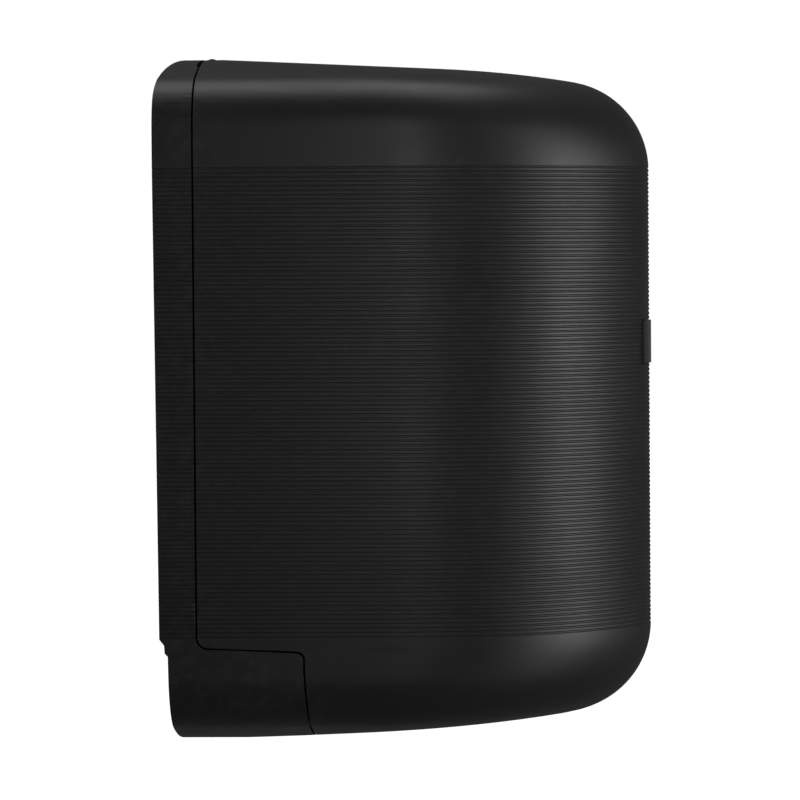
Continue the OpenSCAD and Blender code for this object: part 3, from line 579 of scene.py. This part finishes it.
# one material for each slot of the record
MATS = {
    "case_black": moulded("case_black", (0.0105, 0.0105, 0.0108), (0.0145, 0.0143, 0.0145), 0.36, 0.50,
                          wear=0.25, grain_strength=0.3, specular=0.42),
    "window_black": moulded("window_black", (0.004, 0.004, 0.005), (0.007, 0.007, 0.008), 0.05, 0.12,
                            grain_strength=0.02, specular=0.6, coat=0.5),
    "gasket_black": moulded("gasket_black", (0.012, 0.012, 0.012), (0.022, 0.022, 0.022), 0.6, 0.8,
                            specular=0.3),
    "steel": metal("steel", (0.60, 0.60, 0.61), 0.22, 0.4),
    "chassis_grey": moulded("chassis_grey", (0.10, 0.103, 0.108), (0.14, 0.143, 0.148), 0.42, 0.58,
                            wear=0.2),
    "tank_clear": see_through("tank_clear", (0.80, 0.84, 0.86), 0.22, 0.38, 0.55),
    "cap_black": moulded("cap_black", (0.015, 0.015, 0.016), (0.026, 0.026, 0.028), 0.38, 0.55, wear=0.3),
    "battery_black": moulded("battery_black", (0.02, 0.02, 0.022), (0.032, 0.032, 0.035), 0.45, 0.6,
                             wear=0.2),
    "cell_jacket": moulded("cell_jacket", (0.02, 0.035, 0.07), (0.03, 0.05, 0.09), 0.14, 0.26,
                           specular=0.6, coat=0.3),
    "contact_metal": metal("contact_metal", (0.78, 0.74, 0.66), 0.12, 0.3),
    "board_green": moulded("board_green", (0.008, 0.06, 0.022), (0.014, 0.095, 0.035), 0.22, 0.36,
                           specular=0.6),
    "chip_black": moulded("chip_black", (0.012, 0.012, 0.013), (0.025, 0.025, 0.026), 0.4, 0.6),
    "rocker_red": moulded("rocker_red", (0.32, 0.012, 0.01), (0.45, 0.022, 0.016), 0.2, 0.32,
                          specular=0.55),
    "sensor_black": moulded("sensor_black", (0.012, 0.012, 0.012), (0.03, 0.03, 0.03), 0.4, 0.6),
    "lens_red": moulded("lens_red", (0.02, 0.002, 0.003), (0.04, 0.003, 0.006), 0.05, 0.12, coat=0.4,
                        grain_strength=0.02),
    "lens_white": see_through("lens_white", (0.8, 0.85, 0.83), 0.25, 0.4, 0.8),
    "motor_steel": metal("motor_steel", (0.56, 0.56, 0.57), 0.25, 0.42, (900, 40, 900)),
    "pump_white": moulded("pump_white", (0.60, 0.59, 0.54), (0.72, 0.70, 0.64), 0.3, 0.44,
                          subsurface=0.15),
    "gear_white": moulded("gear_white", (0.70, 0.68, 0.60), (0.82, 0.80, 0.72), 0.34, 0.48,
                          subsurface=0.15),
    "tube_clear": see_through("tube_clear", (0.74, 0.76, 0.78), 0.3, 0.45, 0.75),
    "nozzle_grey": moulded("nozzle_grey", (0.03, 0.03, 0.033), (0.05, 0.05, 0.055), 0.2, 0.34,
                           specular=0.55),
    "lock_chrome": metal("lock_chrome", (0.70, 0.70, 0.71), 0.08, 0.2),
}


def dress(o, slot):
    """Gives a piece the one material of its slot."""
    o.data.materials.clear()
    o.data.materials.append(MATS[slot])


def soften(o, width=0.3, angle=35):
    """A small moulded radius on the piece's hard edges, for its light lines."""
    m = o.modifiers.new("edge", "BEVEL")
    m.width = width * MM
    m.segments = 2
    m.limit_method = "ANGLE"
    m.angle_limit = math.radians(angle)
    m.harden_normals = False
    m.use_clamp_overlap = True
    # flat faces stay flat up to the radius
    n = o.modifiers.new("flat_faces", "WEIGHTED_NORMAL")
    n.mode = "FACE_AREA"
    n.weight = 100
    n.keep_sharp = True


# ---------------------------------------------------------------------------
# Pieces
# ---------------------------------------------------------------------------
def cover_shell():
    """The smooth hood with its grooves, underside slot, hinge notches and window opening."""
    o = shell()
    cut(o, boxes("tool", (-SLOT_HALF, SLOT_HALF, 0, SLOT_D, *UNDERSIDE)))
    cut(o, boxes("tool", (-NOTCH_OUT, -NOTCH_IN, 0, NOTCH_D, *TOP), (NOTCH_IN, NOTCH_OUT, 0, NOTCH_D, *TOP)))
    window = rounded_rect(-WINDOW_HALF, WINDOW_HALF, WINDOW_Z - WINDOW_HALF_H, WINDOW_Z + WINDOW_HALF_H,
                          WINDOW_CORNER)
    cut(o, prism("tool", window, "depth", *NOSE))
    sharp_by_angle(o, 38)
    return o


def hinge_lug(x0, x1, top):
    """A lug that takes the hinge pin, with the web that joins it to the skin."""
    pts = [(HINGE_D + LUG_WEB, HINGE_Z - LUG_R), (HINGE_D + LUG_WEB, top)]
    for i in range(13):
        a = math.radians(90 + 15 * i)
        pts.append((HINGE_D + LUG_R * math.cos(a), min(HINGE_Z + LUG_R * math.sin(a), top)))
    o = prism("cover_lug", pts, "x", x0, x1)
    soften(o)
    return o


def stud(d, n=32):
    """A boss with a melted stud that holds the catch's foot."""
    # radius and height of each ring, from the cover's floor upwards
    rings = ((3.0, -120.5), (3.0, -117.65), (1.5, -117.65), (1.5, -115.7), (2.3, -115.7), (2.5, -115.5),
             (2.3, -115.1), (1.6, -114.9))
    verts, faces = [], []
    for r, z in rings:
        for i in range(n):
            a = 2 * math.pi * i / n
            verts.append(((STUD_X + r * math.cos(a)) * MM, -(d + r * math.sin(a)) * MM, z * MM))
    last = len(rings) - 1
    for k in range(last):
        for i in range(n):
            j = (i + 1) % n
            faces.append((k * n + i, k * n + j, (k + 1) * n + j, (k + 1) * n + i))
    faces.append(tuple(reversed(range(n))))
    faces.append(tuple(last * n + i for i in range(n)))
    o = mesh_object("cover_stud", verts, faces)
    fix_normals(o)
    sharp_by_angle(o, 40)
    return o


def comb():
    """Groove cutters for both sides of the strip, one bar with sloping flanks per groove."""
    bm = bmesh.new()
    past = 0.5
    spread = 0.3 * past / RIB_DEEP
    for side in (-1, 1):
        for k in range(RIBS):
            parts = (GROOVE_IN, FLOOR_LOW, FLOOR_HIGH, 1.0)
            z0, z1, z2, z3 = (RIB_LOW + (k + part) * PITCH for part in parts)
            outside, floor = HALF_W + past, HALF_W - RIB_DEEP
            bar = [(floor, z1), (floor, z2), (outside, z3 + (z3 - z2) * spread),
                   (outside, z0 - (z1 - z0) * spread)]
            a = [bm.verts.new((side * x * MM, 0.004, z * MM)) for x, z in bar]
            b = [bm.verts.new((side * x * MM, -(STRIP + 1.0) * MM, z * MM)) for x, z in bar]
            bm.faces.new(a)
            bm.faces.new(list(reversed(b)))
            for i in range(4):
                bm.faces.new((a[i], b[i], b[(i + 1) % 4], a[(i + 1) % 4]))
    return from_bmesh("tool", bm)


def housing_shell():
    """The housing's CAD solid, with the grooves cut into its visible strip."""
    cad = frame["nodes"]["rear_housing"]
    o = cad.copy()
    o.data = cad.data.copy()
    o.parent = None
    o.name = "housing_shell"
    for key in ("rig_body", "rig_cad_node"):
        if key in o:
            del o[key]
    bpy.context.scene.collection.objects.link(o)
    bm = bmesh.new()
    bm.from_mesh(o.data)
    bmesh.ops.remove_doubles(bm, verts=bm.verts, dist=1e-6)
    bm.to_mesh(o.data)
    bm.free()
    cut(o, comb(), "EXACT")
    sharp_by_angle(o, 30)
    soften(o, angle=40)
    return o


def place(o, body, slot="case_black"):
    """Dresses a new piece and sets it on its body."""
    dress(o, slot)
    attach(o, body)


cover = cover_shell()
place(cover, "cover")
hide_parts("front_cover")
place(hinge_lug(-LUG_OUT, -NOTCH_OUT, LUG_TOP_SIDE), "cover")
place(hinge_lug(-NOTCH_IN, NOTCH_IN, LUG_TOP_MID), "cover")
place(hinge_lug(NOTCH_OUT, LUG_OUT, LUG_TOP_SIDE), "cover")
for depth in STUD_DEPTHS:
    place(stud(depth), "cover")

housing = housing_shell()
place(housing, "base")
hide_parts("rear_housing")

# every other CAD node keeps its shape and gets a radius and a material
THIN = 6.0
SLOTS = {s["node"]: s["material_slot"] for s in frame["record"]["subparts"]}
for name, o in frame["nodes"].items():
    if name in ("front_cover", "rear_housing"):
        continue
    low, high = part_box(name)
    dress(o, SLOTS[name])
    soften(o, 0.2 if min(b - a for a, b in zip(low, high)) < THIN * MM else 0.4)

# ---------------------------------------------------------------------------
# Stage, lights and camera, in metres
# ---------------------------------------------------------------------------
def floor_plane(half, z):
    """A pale floor under the object, which lights nothing."""
    corners = [(-half, -half, 0), (half, -half, 0), (half, half, 0), (-half, half, 0)]
    o = mesh_object("floor", corners, [(0, 1, 2, 3)], False)
    o.location = (0, 0, z)
    m, nt, b = material("floor_pale")
    obj = nt.nodes.new("ShaderNodeTexCoord").outputs["Object"]
    drift = noise(nt, obj, 3.0)
    tone = ramp(nt, drift, (0.3, (0.93, 0.93, 0.93)), (0.7, (0.96, 0.96, 0.96)))
    nt.links.new(tone, b.inputs["Base Color"])
    b.inputs["Roughness"].default_value = 0.9
    b.inputs["Emission Color"].default_value = (1, 1, 1, 1)
    b.inputs["Emission Strength"].default_value = 1.0
    o.data.materials.append(m)
    return o


def backdrop(radius):
    """A pale dome that only the camera sees."""
    bpy.ops.mesh.primitive_uv_sphere_add(segments=48, ring_count=24, radius=radius, location=(0, 0, 0))
    o = bpy.context.active_object
    o.name = "backdrop"
    m, nt, b = material("backdrop_pale")
    b.inputs["Base Color"].default_value = (0, 0, 0, 1)
    b.inputs["Emission Color"].default_value = (1, 1, 1, 1)
    b.inputs["Emission Strength"].default_value = 1.02
    o.data.materials.append(m)
    o.visible_shadow = False
    return o


def area(name, pos, target, width, height, power):
    """A rectangular softbox that the camera doesn't see."""
    light = bpy.data.lights.new(name, "AREA")
    light.shape = "RECTANGLE"
    light.size, light.size_y = width, height
    light.energy = power
    o = bpy.data.objects.new(name, light)
    o.location = pos
    o.rotation_euler = (Vector(target) - Vector(pos)).to_track_quat("-Z", "Y").to_euler()
    o.visible_camera = False
    bpy.context.scene.collection.objects.link(o)


def studio_air(strength):
    """Even white light from all around."""
    w = bpy.data.worlds.new("studio")
    w.use_nodes = True
    w.node_tree.nodes["Background"].inputs["Color"].default_value = (1, 1, 1, 1)
    w.node_tree.nodes["Background"].inputs["Strength"].default_value = strength
    bpy.context.scene.world = w


def camera(target, azimuth, distance, height, lens, roll):
    """A long lens that looks square at the object's side, from a little in front and above."""
    flat = math.sqrt(distance ** 2 - height ** 2)
    pos = target + Vector((-flat * math.cos(azimuth), -flat * math.sin(azimuth), height))
    data = bpy.data.cameras.new("camera")
    data.sensor_width = 36
    data.lens = lens
    data.clip_end = 100
    o = bpy.data.objects.new("camera", data)
    look = (target - pos).to_track_quat("-Z", "Y").to_matrix().to_4x4()
    o.matrix_world = Matrix.Translation(pos) @ look @ Matrix.Rotation(roll, 4, "Z")
    bpy.context.scene.collection.objects.link(o)
    bpy.context.scene.camera = o


for o in (floor_plane(15, -0.62), backdrop(14)):
    o.visible_glossy = False
    o.visible_diffuse = False

# soft light from above, a tall one in front of the nose and a weak strip beside the flat side
studio_air(0.10)
area("top_light", (0.18, -0.08, 1.5), (0, -0.08, 0.0), 1.1, 0.9, 7.5)
area("front_strip", (-0.42, -1.7, 0.02), (0, -0.1, -0.02), 0.75, 0.8, 12.5)
area("side_strip", (-0.36, -0.118, 0.06), (0, -0.112, 0.03), 0.05, 0.30, 0.17)

camera(Vector((0, -0.0848, -0.0011)), math.radians(2.6), 1.626, 0.0574, 196.83, math.radians(-0.42))
bpy.context.scene.view_settings.view_transform = "Standard"
